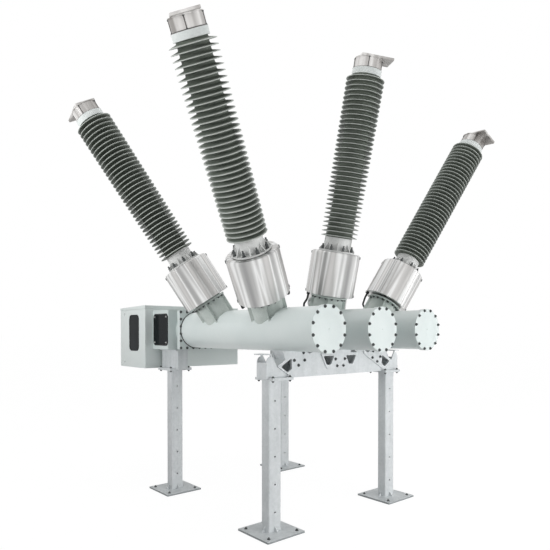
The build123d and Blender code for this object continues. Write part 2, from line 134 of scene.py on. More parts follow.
def pickEdges(piece, test):
    pickOnly(piece)
    editing(True)
    bpy.ops.mesh.select_mode(type="EDGE")
    bpy.ops.mesh.select_all(action="DESELECT")
    editing(False)
    points = piece.data.vertices
    for edge in piece.data.edges:
        a, b = edge.vertices
        edge.select = test(points[a].co, points[b].co)
    editing(True)


def turnedPiece(name, profile, steps, joinEnds=True):
    # a ring is drawn up along the profile, one extrude and one resize for each point
    bpy.ops.object.select_all(action="DESELECT")
    radius, height = profile[0]
    bpy.ops.mesh.primitive_circle_add(vertices=steps, radius=radius, location=(0, 0, 0))
    piece = bpy.context.object
    piece.name = name
    editing(True)
    bpy.ops.mesh.select_all(action="SELECT")
    bpy.ops.transform.translate(value=(0, 0, height))
    for nextRadius, nextHeight in profile[1:] + (profile[:1] if joinEnds else []):
        rise = nextHeight - height
        bpy.ops.mesh.extrude_region_move(TRANSFORM_OT_translate={"value": (0, 0, rise)})
        grow = nextRadius / radius
        bpy.ops.transform.resize(value=(grow, grow, 1), center_override=(0, 0, nextHeight))
        radius, height = nextRadius, nextHeight
    bpy.ops.mesh.select_all(action="SELECT")
    bpy.ops.mesh.remove_doubles(threshold=weldGap)
    bpy.ops.mesh.normals_make_consistent(inside=False)
    editing(False)
    return piece


def placedCopy(master, place, name):
    piece = master.copy()
    piece.data = master.data.copy()
    piece.name = name
    bpy.context.collection.objects.link(piece)
    piece.data.transform(place)
    return piece


def joined(name, pieces):
    pickOnly(*pieces)
    if len(pieces) > 1:
        bpy.ops.object.join()
    piece = bpy.context.object
    piece.name = name
    return piece


def discard(*pieces):
    pickOnly(*pieces)
    bpy.ops.object.delete()


# angles in degrees: facets flatter than "facet" are merged, edges sharper than "edge" are eased,
# and "shade" is where shading stops being smooth
softShape = {"facet": 0.6, "edge": 30, "shade": 40, "segments": 2}


def softCopy(node, name, width, place=None, patternTurn=0):
    # a welded copy of the solid with its sharp edges eased
    source = cadNode(node)
    piece = source.copy()
    piece.data = source.data.copy()
    for key in list(piece.keys()):
        del piece[key]
    piece.name = name
    piece.parent = None
    piece.matrix_world = source.matrix_world
    bpy.context.collection.objects.link(piece)
    bakePlace(piece)
    editing(True)
    bpy.ops.mesh.select_all(action="SELECT")
    bpy.ops.mesh.remove_doubles(threshold=weldGap)
    bpy.ops.mesh.dissolve_limited(angle_limit=radians(softShape["facet"]))
    editing(False)
    bevel = piece.modifiers.new("easedEdges", "BEVEL")
    bevel.width = width
    bevel.segments = softShape["segments"]
    bevel.limit_method = "ANGLE"
    bevel.angle_limit = radians(softShape["edge"])
    bevel.use_clamp_overlap = False
    bpy.ops.object.modifier_apply(modifier=bevel.name)
    smooth(piece, softShape["shade"])
    # broad faces keep flat shading right up to their eased edges
    even = piece.modifiers.new("evenNormals", "WEIGHTED_NORMAL")
    even.keep_sharp = True
    bpy.ops.object.modifier_apply(modifier=even.name)
    rememberPlace(piece, place, patternTurn)
    return piece


def fit(piece, finish, slot, *nodes):
    # gives a piece its finish, puts it on the body and takes the place of its CAD nodes
    piece.data.materials.clear()
    piece.data.materials.append(finish)
    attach(piece, "root")
    if nodes:
        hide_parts(*nodes)


def fitCopy(node, name, width, finish, slot):
    fit(softCopy(node, name, width), finish, slot, node)


# the camera stands before the left front corner, a little under the tanks' height
cameraView = {
    "location": (-4.1895, -4.8999, 1.9378),
    "tilt": -0.802,
    "turn": -40.032,
    "lens": 34.79,
    "shift": (0.00305, 0.1192),
}
bpy.ops.object.select_all(action="DESELECT")
bpy.ops.object.camera_add(
    location=cameraView["location"],
    rotation=(radians(90 + cameraView["tilt"]), 0, radians(cameraView["turn"])),
)
camera = bpy.context.object
camera.name = "studioCamera"
camera.data.lens = cameraView["lens"]
camera.data.shift_x, camera.data.shift_y = cameraView["shift"]
bpy.context.scene.camera = camera
print("camera placed")


# short ways to wire shader nodes, for the groups and the finishes alike
def newGroup(name, inputs, outputs):
    group = bpy.data.node_groups.new(name, "ShaderNodeTree")
    for label, kind, value in inputs:
        socket = group.interface.new_socket(label, in_out="INPUT", socket_type=kind)
        if value is not None:
            socket.default_value = value
    for label, kind in outputs:
        group.interface.new_socket(label, in_out="OUTPUT", socket_type=kind)
    start = group.nodes.new("NodeGroupInput")
    end = group.nodes.new("NodeGroupOutput")
    return group, start, end


def feed(tree, socket, source):
    # a socket takes either a plain value or the output of another node
    if hasattr(source, "is_linked"):
        tree.links.new(source, socket)
    else:
        socket.default_value = source


def noise(tree, vector, scale, detail, rough=0.55):
    node = tree.nodes.new("ShaderNodeTexNoise")
    feed(tree, node.inputs["Vector"], vector)
    feed(tree, node.inputs["Scale"], scale)
    node.inputs["Detail"].default_value = detail
    node.inputs["Roughness"].default_value = rough
    return node.outputs["Fac"]


def maths(tree, how, a, b=None, clamp=False):
    node = tree.nodes.new("ShaderNodeMath")
    node.operation = how
    node.use_clamp = clamp
    feed(tree, node.inputs[0], a)
    if b is not None:
        feed(tree, node.inputs[1], b)
    return node.outputs[0]


def vectorMaths(tree, how, a, b=None):
    node = tree.nodes.new("ShaderNodeVectorMath")
    node.operation = how
    feed(tree, node.inputs[0], a)
    if b is not None:
        feed(tree, node.inputs[1], b)
    return node.outputs


def spread(tree, value, low, high, toLow=0.0, toHigh=1.0):
    node = tree.nodes.new("ShaderNodeMapRange")
    feed(tree, node.inputs["Value"], value)
    feed(tree, node.inputs["From Min"], low)
    feed(tree, node.inputs["From Max"], high)
    feed(tree, node.inputs["To Min"], toLow)
    feed(tree, node.inputs["To Max"], toHigh)
    return node.outputs["Result"]


def blendColour(tree, factor, a, b, how="MIX"):
    # the sixth and seventh inputs of a mix node are its two colours
    node = tree.nodes.new("ShaderNodeMix")
    node.data_type = "RGBA"
    node.blend_type = how
    feed(tree, node.inputs["Factor"], factor)
    feed(tree, node.inputs[6], a)
    feed(tree, node.inputs[7], b)
    return node.outputs[2]


def stretch(tree, vector, scale):
    node = tree.nodes.new("ShaderNodeMapping")
    feed(tree, node.inputs["Vector"], vector)
    node.inputs["Scale"].default_value = scale
    return node.outputs["Vector"]


def heightOf(tree, vector):
    split = tree.nodes.new("ShaderNodeSeparateXYZ")
    feed(tree, split.inputs[0], vector)
    return split.outputs[2]


def awayFromAxis(tree, vector):
    # the part of a vector that points away from the Z axis
    return vectorMaths(tree, "MULTIPLY", vector, (1, 1, 0))[0]


def makeMottle():
    # soft patches over fine speckle, about 0.5 on average
    group, start, end = newGroup(
        "mottle",
        [("Vector", "NodeSocketVector", None), ("Patch Scale", "NodeSocketFloat", 2.0),
         ("Speck Scale", "NodeSocketFloat", 90.0), ("Speck Share", "NodeSocketFloat", 0.3)],
        [("Value", "NodeSocketFloat")],
    )
    patch = noise(group, start.outputs["Vector"], start.outputs["Patch Scale"], 4)
    speck = noise(group, start.outputs["Vector"], start.outputs["Speck Scale"], 2)
    rest = maths(group, "SUBTRACT", 1.0, start.outputs["Speck Share"])
    patchPart = maths(group, "MULTIPLY", patch, rest)
    speckPart = maths(group, "MULTIPLY", speck, start.outputs["Speck Share"])
    feed(group, end.inputs["Value"], maths(group, "ADD", patchPart, speckPart))
    return group


def makeSpangle():
    # crystals, clouds and runs of hot-dip zinc; only the crystals stand up from the surface
    shares = {"crystals": 0.12, "clouds": 0.48, "runs": 0.4}
    wobbleScale, wobbleReach = 30.0, 0.02
    cloudScale, runScale, runStretch = 4.0, 2.0, (9.0, 9.0, 1.2)
    group, start, end = newGroup(
        "spangle",
        [("Vector", "NodeSocketVector", None), ("Crystal Scale", "NodeSocketFloat", 60.0)],
        [("Value", "NodeSocketFloat"), ("Height", "NodeSocketFloat")],
    )
    vector = start.outputs["Vector"]
    wobble = group.nodes.new("ShaderNodeTexNoise")
    feed(group, wobble.inputs["Vector"], vector)
    wobble.inputs["Scale"].default_value = wobbleScale
    reach = (wobbleReach, wobbleReach, wobbleReach)
    shift = vectorMaths(group, "MULTIPLY", wobble.outputs["Color"], reach)[0]
    cells = group.nodes.new("ShaderNodeTexVoronoi")
    feed(group, cells.inputs["Vector"], vectorMaths(group, "ADD", vector, shift)[0])
    feed(group, cells.inputs["Scale"], start.outputs["Crystal Scale"])
    split = group.nodes.new("ShaderNodeSeparateColor")
    feed(group, split.inputs[0], cells.outputs["Color"])
    crystals = split.outputs[0]
    clouds = noise(group, vector, cloudScale, 5, 0.6)
    runs = noise(group, stretch(group, vector, runStretch), runScale, 3)
    total = maths(group, "MULTIPLY", crystals, shares["crystals"])
    total = maths(group, "ADD", total, maths(group, "MULTIPLY", clouds, shares["clouds"]))
    total = maths(group, "ADD", total, maths(group, "MULTIPLY", runs, shares["runs"]))
    feed(group, end.inputs["Value"], total)
    feed(group, end.inputs["Height"], crystals)
    return group


def makeBrushed():
    # grain, and broad bands that run along a round piece's own axis and drift slowly on the way; the finishes
    # paint the bands in as reflections
    driftShare, grainScale = 0.12, 70.0
    group, start, end = newGroup(
        "brushedGrainAndReflectionBands",
        [("Vector", "NodeSocketVector", None), ("Band Scale", "NodeSocketFloat", 2.2),
         ("Seed", "NodeSocketFloat", 0.0)],
        [("ReflectionBands", "NodeSocketFloat"), ("Grain", "NodeSocketFloat")],
    )
    around = vectorMaths(group, "NORMALIZE", awayFromAxis(group, start.outputs["Vector"]))[0]
    drift = group.nodes.new("ShaderNodeCombineXYZ")
    slow = maths(group, "MULTIPLY", heightOf(group, start.outputs["Vector"]), driftShare)
    shift = maths(group, "ADD", slow, start.outputs["Seed"])
    feed(group, drift.inputs[2], shift)
    place = vectorMaths(group, "ADD", around, drift.outputs[0])[0]
    feed(group, end.inputs["ReflectionBands"], noise(group, place, start.outputs["Band Scale"], 1.2, 0.4))
    feed(group, end.inputs["Grain"], noise(group, place, grainScale, 4, 0.7))
    return group


def makeDust():
    # what settles on faces that look up, in patches
    facesUp, patches = (0.35, 1.0), (0.4, 0.65)
    group, start, end = newGroup(
        "settledDust",
        [("Vector", "NodeSocketVector", None), ("Scale", "NodeSocketFloat", 14.0)],
        [("Mask", "NodeSocketFloat")],
    )
    geometry = group.nodes.new("ShaderNodeNewGeometry")
    up = spread(group, heightOf(group, geometry.outputs["Normal"]), *facesUp)
    cloud = noise(group, start.outputs["Vector"], start.outputs["Scale"], 5)
    patch = spread(group, cloud, *patches)
    feed(group, end.inputs["Mask"], maths(group, "MULTIPLY", up, patch))
    return group


groups = {
    "mottle": makeMottle(),
    "spangle": makeSpangle(),
    "brushed": makeBrushed(),
    "dust": makeDust(),
}
print("node groups built")


def useGroup(tree, key, **values):
    node = tree.nodes.new("ShaderNodeGroup")
    node.node_tree = groups[key]
    for label, value in values.items():
        feed(tree, node.inputs[label.replace("_", " ")], value)
    return node.outputs


def newFinish(name, metallic=0.0, specular=0.5, coat=0.0):
    finish = bpy.data.materials.new(name)
    finish.use_nodes = True
    tree = finish.node_tree
    shader = tree.nodes["Principled BSDF"]
    shader.inputs["Metallic"].default_value = metallic
    shader.inputs["Specular IOR Level"].default_value = specular
    shader.inputs["Coat Weight"].default_value = coat
    shader.inputs["Coat Roughness"].default_value = 0.2
    return finish, tree, shader


def objectVector(tree):
    return tree.nodes.new("ShaderNodeTexCoord").outputs["Object"]


def ownVector(tree):
    # the place that rememberPlace keeps, in the piece's own frame
    node = tree.nodes.new("ShaderNodeAttribute")
    node.attribute_name = "own"
    return node.outputs["Vector"]


def setRoughness(tree, shader, pattern, rough):
    low, high = rough
    feed(tree, shader.inputs["Roughness"], spread(tree, pattern, 0.3, 0.7, low, high))


def bump(tree, shader, height, strength, distance):
    node = tree.nodes.new("ShaderNodeBump")
    node.inputs["Strength"].default_value = strength
    node.inputs["Distance"].default_value = distance
    feed(tree, node.inputs["Height"], height)
    feed(tree, shader.inputs["Normal"], node.outputs["Normal"])


def dusted(tree, place, scale, amount, colour, dustColour):
    dust = useGroup(tree, "dust", Vector=place, Scale=scale)["Mask"]
    return blendColour(tree, maths(tree, "MULTIPLY", dust, amount), colour, dustColour)


# in every finish below, "rough" is the roughness from the low to the high end of its pattern,
# "tones" is the part of the pattern over which dark goes to light, and "bump" its strength and depth
paintTexture = {
    "speckShare": 0.25, "tones": (0.35, 0.65), "dustScale": 9.0,
    "peelScale": 55.0, "peelBump": (0.12, 0.0015),
}


def paintFinish(name, values):
    finish, tree, shader = newFinish(name, specular=values["gloss"], coat=values["coat"])
    place = objectVector(tree)
    patch = useGroup(
        tree, "mottle", Vector=place, Patch_Scale=values["patchScale"], Speck_Share=paintTexture["speckShare"]
    )["Value"]
    colour = blendColour(tree, spread(tree, patch, *paintTexture["tones"]), values["dark"], values["light"])
    colour = dusted(tree, place, paintTexture["dustScale"], values["dust"], colour, values["dustColour"])
    feed(tree, shader.inputs["Base Color"], colour)
    setRoughness(tree, shader, patch, values["rough"])
    peel = noise(tree, place, paintTexture["peelScale"], 2)
    bump(tree, shader, peel, *paintTexture["peelBump"])
    return finish


tankPaint = paintFinish("tankPaint", {
    "dark": (0.655, 0.725, 0.715, 1), "light": (0.715, 0.775, 0.765, 1), "patchScale": 1.8,
    "rough": (0.28, 0.40), "gloss": 0.5, "coat": 0.12, "dust": 0.25, "dustColour": (0.76, 0.79, 0.78, 1),
})
neckPaint = paintFinish("neckPaint", {
    "dark": (0.44, 0.495, 0.47, 1), "light": (0.60, 0.65, 0.62, 1), "patchScale": 7.0,
    "rough": (0.44, 0.56), "gloss": 0.4, "coat": 0.0, "dust": 0.3, "dustColour": (0.62, 0.65, 0.63, 1),
})
cabinetPaint = paintFinish("cabinetPaint", {
    "dark": (0.69, 0.75, 0.74, 1), "light": (0.75, 0.80, 0.785, 1), "patchScale": 1.2,
    "rough": (0.36, 0.48), "gloss": 0.45, "coat": 0.05, "dust": 0.25, "dustColour": (0.74, 0.77, 0.76, 1),
})
housingPaint = paintFinish("housingPaint", {
    "dark": (0.60, 0.67, 0.66, 1), "light": (0.67, 0.735, 0.725, 1), "patchScale": 2.4,
    "rough": (0.36, 0.48), "gloss": 0.45, "coat": 0.05, "dust": 0.25, "dustColour": (0.70, 0.73, 0.72, 1),
})


zincTexture = {
    "gloss": 0.3, "tones": (0.32, 0.68), "dustScale": 16.0, "dust": 0.35, "rough": (0.38, 0.56),
    "bump": (0.06, 0.0005),
}


def zincFinish(name, values):
    # the edges of the sole plates, under the height "soleTop", can be darkened as painted shade
    finish, tree, shader = newFinish(name, metallic=values["metal"], specular=zincTexture["gloss"])
    place = objectVector(tree)
    spangle = useGroup(tree, "spangle", Vector=place, Crystal_Scale=values["crystals"])
    tone = spread(tree, spangle["Value"], *zincTexture["tones"])
    colour = blendColour(tree, tone, values["dark"], values["light"])
    colour = dusted(tree, place, zincTexture["dustScale"], zincTexture["dust"], colour, values["dustColour"])
    # painted shade: darker towards the floor, on the edges of the sole plates
    if "soleShade" in values:
        fadeFrom = values["soleTop"] - values["soleShadeFade"]
        low = spread(tree, heightOf(tree, place), fadeFrom, values["soleTop"], 1.0, 0.0)
        soleShade = maths(tree, "MULTIPLY", low, values["soleShade"])
        colour = blendColour(tree, soleShade, colour, values["soleShadeColour"])
    feed(tree, shader.inputs["Base Color"], colour)
    setRoughness(tree, shader, spangle["Value"], zincTexture["rough"])
    bump(tree, shader, spangle["Height"], *zincTexture["bump"])
    return finish


# galvanised steel; the edges of its sole plates get painted shade near the floor
zinc = zincFinish("galvanisedSteel", {
    "metal": 0.06, "crystals": 42.0, "dark": (0.57, 0.60, 0.61, 1), "light": (0.72, 0.745, 0.76, 1),
    "dustColour": (0.78, 0.80, 0.81, 1),
    "soleTop": 0.0185, "soleShadeFade": 0.002, "soleShade": 0.75, "soleShadeColour": (0.20, 0.22, 0.23, 1),
})
# bolts, nuts and lugs are near black: dark zinc, and painted shade for the shadows around and between them
boltZincPaintedShade = zincFinish("boltZincPaintedShade", {
    "metal": 0.3, "crystals": 200.0, "dark": (0.05, 0.055, 0.055, 1), "light": (0.13, 0.14, 0.14, 1),
    "dustColour": (0.2, 0.21, 0.21, 1),
})


def brushedFinish(name, values):
    finish, tree, shader = newFinish(name, metallic=values["metal"])
    own = ownVector(tree)
    brushed = useGroup(tree, "brushed", Vector=own, Band_Scale=values["bands"], Seed=values["seed"])
    # the ramp turns the bands into painted reflections of the studio, light and dark, in the base colour
    ramp = tree.nodes.new("ShaderNodeValToRGB")
    reflectionStops = values["reflectionStops"]
    while len(ramp.color_ramp.elements) < len(reflectionStops):
        ramp.color_ramp.elements.new(0.5)
    for element, (position, colour) in zip(ramp.color_ramp.elements, reflectionStops):
        element.position = position
        element.color = colour
    feed(tree, ramp.inputs[0], brushed["ReflectionBands"])
    grain = spread(tree, brushed["Grain"], 0.3, 0.7, *values["grain"])
    shade = tree.nodes.new("ShaderNodeCombineColor")
    for channel in range(3):
        feed(tree, shade.inputs[channel], grain)
    colour = blendColour(tree, 1.0, ramp.outputs[0], shade.outputs[0], "MULTIPLY")
    feed(tree, shader.inputs["Base Color"], colour)
    setRoughness(tree, shader, brushed["Grain"], values["rough"])
    bump(tree, shader, brushed["Grain"], *values["bump"])
    return finish


# aluminium with painted reflections: the stops set dark and bright bands where the studio would mirror in it
canMetal = brushedFinish("brushedAluminiumPaintedReflections", {
    "metal": 0.85, "bands": 2.7, "seed": 0.4,
    "grain": (0.92, 1.05), "rough": (0.3, 0.46), "bump": (0.1, 0.0006),
    "reflectionStops": [
        (0.30, (0.36, 0.36, 0.36, 1)), (0.38, (0.50, 0.50, 0.495, 1)), (0.45, (0.88, 0.885, 0.88, 1)),
        (0.51, (0.52, 0.515, 0.505, 1)), (0.57, (0.66, 0.65, 0.64, 1)), (0.63, (0.93, 0.93, 0.925, 1)),
        (0.70, (0.56, 0.56, 0.555, 1)),
    ],
})


def capFinish(name, values):
    # the hood is brushed metal with painted reflection bands, and the cast ring below its joint is pale grey
    finish, tree, shader = newFinish(name)
    own = ownVector(tree)
    height = heightOf(tree, own)
    edge = values["edge"]
    brushed = useGroup(tree, "brushed", Vector=own, Band_Scale=values["bands"], Seed=values["seed"])
    hoodReflectionShare = spread(tree, brushed["ReflectionBands"], *values["hoodReflectionTones"])
    hood = blendColour(tree, hoodReflectionShare, values["hoodReflectionDark"], values["hoodReflectionLight"])
    patch = useGroup(tree, "mottle", Vector=own, Patch_Scale=values["ringPatch"])["Value"]
    ringTone = spread(tree, patch, *values["ringTones"])
    ring = blendColour(tree, ringTone, values["ringDark"], values["ringLight"])
    above = spread(tree, height, values["joint"] - edge, values["joint"] + edge)
    colour = blendColour(tree, above, ring, hood)
    away = maths(tree, "ABSOLUTE", maths(tree, "SUBTRACT", height, values["joint"]))
    groove = spread(tree, away, *values["groove"], 1.0, 0.0)
    colour = blendColour(tree, groove, colour, values["grooveColour"])
    # the tie rods stand outside the hood, and end under its top plate
    radius = vectorMaths(tree, "LENGTH", awayFromAxis(tree, own))["Value"]
    outside = spread(tree, radius, values["rodStart"], values["rodStart"] + edge)
    below = spread(tree, height, values["rodEnd"], values["rodEnd"] + edge, 1.0, 0.0)
    rods = maths(tree, "MULTIPLY", maths(tree, "MULTIPLY", outside, below), above)
    colour = blendColour(tree, rods, colour, values["rodColour"])
    feed(tree, shader.inputs["Base Color"], colour)
    feed(tree, shader.inputs["Metallic"], maths(tree, "MULTIPLY", above, values["metal"]))
    setRoughness(tree, shader, brushed["Grain"], values["rough"])
    bump(tree, shader, brushed["Grain"], *values["bump"])
    return finish


capMetal = capFinish("capMetal", {
    "bands": 2.2, "seed": 3.1, "metal": 0.7, "rough": (0.3, 0.48), "bump": (0.1, 0.0006),
    # the hood's dark and light are its painted reflection bands
    "hoodReflectionTones": (0.36, 0.62), "hoodReflectionDark": (0.34, 0.325, 0.31, 1), "hoodReflectionLight": (0.80, 0.785, 0.77, 1),
    "ringPatch": 9.0, "ringTones": (0.35, 0.65),
    "ringDark": (0.62, 0.66, 0.65, 1), "ringLight": (0.76, 0.79, 0.78, 1),
    "joint": 2.677, "edge": 0.001, "groove": (0.0025, 0.0055), "grooveColour": (0.10, 0.095, 0.09, 1),
    "rodStart": 0.1352, "rodEnd": 2.763, "rodColour": (0.13, 0.125, 0.12, 1),
})


def mottledFinish(name, values, onOwn=False):
    # patches of two tones that also set the roughness and, where it is given, the bump
    finish, tree, shader = newFinish(name, values.get("metal", 0.0), values.get("gloss", 0.5))
    vector = ownVector(tree) if onOwn else objectVector(tree)
    patch = useGroup(
        tree, "mottle", Vector=vector, Patch_Scale=values["patchScale"],
        Speck_Scale=values["speckScale"], Speck_Share=values["speckShare"],
    )["Value"]
    colour = blendColour(tree, spread(tree, patch, *values["tones"]), values["dark"], values["light"])
    if "paintedRimLight" in values:
        # paler towards the thin rims of a round piece, in patches: painted light where the rims catch the
        # lamps
        radius = vectorMaths(tree, "LENGTH", awayFromAxis(tree, vector))["Value"]
        rim = spread(tree, radius, values["rimStart"], values["rimEnd"])
        litRim = maths(tree, "MULTIPLY", rim, spread(tree, patch, *values["rimLightPatches"]))
        colour = blendColour(tree, litRim, colour, values["paintedRimLight"])
    feed(tree, shader.inputs["Base Color"], colour)
    setRoughness(tree, shader, patch, values["rough"])
    if "bump" in values:
        bump(tree, shader, patch, *values["bump"])
    return finish


castMetal = mottledFinish("castAluminium", {
    "metal": 0.2, "patchScale": 11.0, "speckScale": 160.0, "speckShare": 0.4, "tones": (0.32, 0.66),
    "dark": (0.52, 0.53, 0.52, 1), "light": (0.76, 0.77, 0.76, 1), "rough": (0.42, 0.6),
    "bump": (0.25, 0.0012),
})
# the sheds' pale rims are painted light where their thin tips catch the lamps and the white around them
shedRubber = mottledFinish("shedRubber", {
    "gloss": 0.22, "patchScale": 6.0, "speckScale": 80.0, "speckShare": 0.3, "tones": (0.35, 0.65),
    "dark": (0.105, 0.122, 0.103, 1), "light": (0.170, 0.190, 0.164, 1), "rough": (0.42, 0.58),
    "bump": (0.1, 0.001), "paintedRimLight": (0.52, 0.55, 0.52, 1), "rimStart": 0.172, "rimEnd": 0.191,
    "rimLightPatches": (0.3, 0.6, 0.75, 1.0),
}, onOwn=True)
darkGlass = mottledFinish("darkGlass", {
    "gloss": 0.06, "patchScale": 3.0, "speckScale": 90.0, "speckShare": 0.3, "tones": (0.35, 0.65),
    "dark": (0.004, 0.006, 0.007, 1), "light": (0.012, 0.016, 0.018, 1), "rough": (0.1, 0.2),
})
blackRubber = mottledFinish("blackRubber", {
    "gloss": 0.35, "patchScale": 12.0, "speckScale": 220.0, "speckShare": 0.3, "tones": (0.3, 0.7),
    "dark": (0.008, 0.009, 0.010, 1), "light": (0.028, 0.030, 0.031, 1), "rough": (0.5, 0.7),
    "bump": (0.2, 0.0008),
})
print("finishes built")


# a bolt head or nut is a washer, a six-sided head and the end of its stud
boltShape = {
    "washer": 0.0165, "washerThick": 0.003, "head": 0.0125, "headHeight": 0.010, "headEase": 0.0016,
    "stud": 0.0065, "studHeight": 0.006, "studEase": 0.0012, "smallSize": 0.62,
}
tallBoltShape = {
    "washer": 0.019, "washerThick": 0.004, "head": 0.0150, "headHeight": 0.034, "headEase": 0.0016,
    "stud": 0.009, "studHeight": 0.020, "studEase": 0.0012,
}


def makeBolt(name, values, size=1.0):
    parts = []
    bpy.ops.object.select_all(action="DESELECT")
    low = 0.0
    for sides, radius, height, ease in (
        (12, values["washer"], values["washerThick"], 0.0),
        (6, values["head"], values["headHeight"], values["headEase"]),
        (8, values["stud"], values["studHeight"], values["studEase"]),
    ):
        middle = (low + height / 2) * size
        bpy.ops.mesh.primitive_cylinder_add(
            vertices=sides, radius=radius * size, depth=height * size, location=(0, 0, middle)
        )
        part = bpy.context.object
        bakePlace(part)
        top = (low + height) * size
        pickEdges(part, lambda a, b: a.z > top - levelGap and b.z > top - levelGap)
        if ease:
            bpy.ops.mesh.bevel(offset=ease * size, segments=1)
        editing(False)
        parts.append(part)
        low += height
    return joined(name, parts)


bolt = makeBolt("boltMaster", boltShape)
bigBolt = makeBolt("bigBoltMaster", tallBoltShape)
smallBolt = makeBolt("smallBoltMaster", boltShape, boltShape["smallSize"])


def ringSpots(place, radius, count, height, phase=0.0, down=False):
    # places on a bolt circle; the phase is a share of the step between two bolts
    spots = []
    for i in range(count):
        spot = place @ turned(360 / count * (i + phase), "Z") @ moved(radius, 0, height)
        spots.append(spot @ upsideDown if down else spot)
    return spots


def fitBolts(name, master, spots):
    group = joined(name, [placedCopy(master, spot, "boltCopy") for spot in spots])
    fit(group, boltZincPaintedShade, "galvanised_steel")
    smooth(group, 30)


# the five stacks of sheds
insulatorShape = {"start": 1.003, "length": 1.612, "sheds": 35, "core": 0.128, "shed": 0.194, "steps": 56}


def makeInsulator(values):
    pitch = values["length"] / values["sheds"]
    middle = pitch / 2
    core, rim = values["core"], values["shed"]
    # up the trunk, out along the drooping underside, round the rim and back along the top
    profile = [
        (core, 0.0), (core, middle - 0.0135), (core + 0.005, middle - 0.0103), (rim - 0.006, middle - 0.0128),
        (rim - 0.0012, middle - 0.0126), (rim, middle - 0.0102), (rim - 0.0012, middle - 0.0076),
        (rim - 0.006, middle - 0.0056), (core + 0.007, middle + 0.0082), (core + 0.001, middle + 0.0125),
        (core, pitch),
    ]
    piece = turnedPiece("insulatorMaster", profile, values["steps"], joinEnds=False)
    stack = piece.modifiers.new("shedStack", "ARRAY")
    stack.use_relative_offset = False
    stack.use_constant_offset = True
    stack.constant_offset_displace = (0, 0, pitch)
    stack.count = values["sheds"]
    stack.use_merge_vertices = True
    stack.merge_threshold = levelGap
    pickOnly(piece)
    bpy.ops.object.modifier_apply(modifier=stack.name)
    piece.data.transform(moved(0, 0, values["start"]))
    for level in (values["start"], values["start"] + values["length"]):
        pickEdges(piece, lambda a, b: abs(a.z - level) < levelGap and abs(b.z - level) < levelGap)
        bpy.ops.mesh.edge_face_add()
        editing(False)
    pickOnly(piece)
    editing(True)
    bpy.ops.mesh.select_all(action="SELECT")
    bpy.ops.mesh.normals_make_consistent(inside=False)
    editing(False)
    smooth(piece, 50)
    rememberPlace(piece)
    return piece


insulatorMaster = makeInsulator(insulatorShape)
for name, place in bushingPlaces.items():
    sheds = placedCopy(insulatorMaster, place, "sheds_" + name)
    fit(sheds, shedRubber, "shed_rubber", "insulator_" + name)
discard(insulatorMaster)
print("insulators made")


# the transformer housings: a rolled sheet with two seams, a lug at both ends of each
canShape = {
    "low": 0.394, "length": 0.459, "wall": 0.257, "bore": 0.150, "steps": 96,
    "seamTurns": {
        "left_front": -37, "left_rear": -31, "middle_front": -46, "right_front": -52, "right_rear": 60,
    },
    # the turn of each can's painted reflection bands, set so that their dark bands lie at its outlines
    "patternTurns": {
        "left_front": 150, "left_rear": 200, "middle_front": 95, "right_front": 310, "right_rear": 150,
    },
    "seamThick": 0.005, "seamWidth": 0.022, "seamShort": 0.050, "seamDrop": 0.004,
    "lugSize": (0.012, 0.026, 0.026), "lugOut": 0.001, "lugLow": 0.016, "lugHigh": 0.030, "ease": 0.002,
}


def makeCan(values):
    low, high = values["low"], values["low"] + values["length"]
    wall, bore = values["wall"], values["bore"]
    # out along the recessed floor, up the wall, over the round shoulder and in along the top
    profile = [
        (bore, low + 0.010), (wall - 0.030, low + 0.010), (wall - 0.024, low), (wall - 0.003, low),
        (wall, low + 0.003), (wall, high - 0.026), (wall - 0.0035, high - 0.0125),
        (wall - 0.012, high - 0.0035), (wall - 0.026, high), (wall - 0.055, high - 0.002),
        (wall - 0.058, high - 0.007), (bore, high - 0.007),
    ]
    piece = turnedPiece("canMaster", profile, values["steps"])
    smooth(piece, 28)
    return piece


def makeBlock(size, ease, segments=1, location=(0, 0, 0)):
    bpy.ops.object.select_all(action="DESELECT")
    bpy.ops.mesh.primitive_cube_add(size=1, location=location, scale=size)
    piece = bpy.context.object
    bakePlace(piece)
    editing(True)
    bpy.ops.mesh.select_all(action="SELECT")
    bpy.ops.mesh.bevel(offset=ease, segments=segments)
    editing(False)
    return piece


canMaster = makeCan(canShape)
lugMaster = makeBlock(canShape["lugSize"], canShape["ease"])
seamLength = canShape["length"] - canShape["seamShort"]
seamMaster = makeBlock((canShape["seamThick"], canShape["seamWidth"], seamLength), canShape["ease"])
seamPlace = moved(canShape["wall"], 0, canShape["low"] + canShape["length"] / 2 - canShape["seamDrop"])
lugPlaces = [
    moved(canShape["wall"] + canShape["lugOut"], 0, height) for height in (
        canShape["low"] + canShape["length"] - canShape["lugHigh"], canShape["low"] + canShape["lugLow"],
    )
]
for name, place in bushingPlaces.items():
    bodyParts = [placedCopy(canMaster, Matrix.Identity(4), "canBody")]
    lugs = []
    for half in (0, 180):
        turn = turned(canShape["seamTurns"][name] + half, "Z")
        bodyParts.append(placedCopy(seamMaster, turn @ seamPlace, "seam"))
        lugs += [placedCopy(lugMaster, place @ turn @ spot, "lug") for spot in lugPlaces]
    can = joined("can_" + name, bodyParts)
    rememberPlace(can, patternTurn=canShape["patternTurns"][name])
    can.data.transform(place)
    fit(can, canMetal, "brushed_can", "ct_housing_" + name)
    fit(joined("canLugs_" + name, lugs), boltZincPaintedShade, "galvanised_steel")
discard(canMaster, lugMaster, seamMaster)
print("transformer housings made")


# terminal caps, collars and necks, with the bolts that hold them
capShape = {
    "turns": {"left_front": 0, "left_rear": 60, "middle_front": 40, "right_front": 215, "right_rear": 300},
    "rodCircle": 0.1365, "rods": 4, "upperNut": 2.771, "lowerNut": 2.677,
}
flangeShape = {
    "collar": {"circle": 0.166, "bolts": 8, "face": 0.869},
    "neck": {"circle": 0.176, "bolts": 16, "face": 0.366},
    "blank": {"circle": 0.160, "bolts": 12, "face": 0.255},
}


def flangeSpots(flange, place, down=False):
    values = flangeShape[flange]
    return ringSpots(place, values["circle"], values["bolts"], values["face"], 0.5, down)


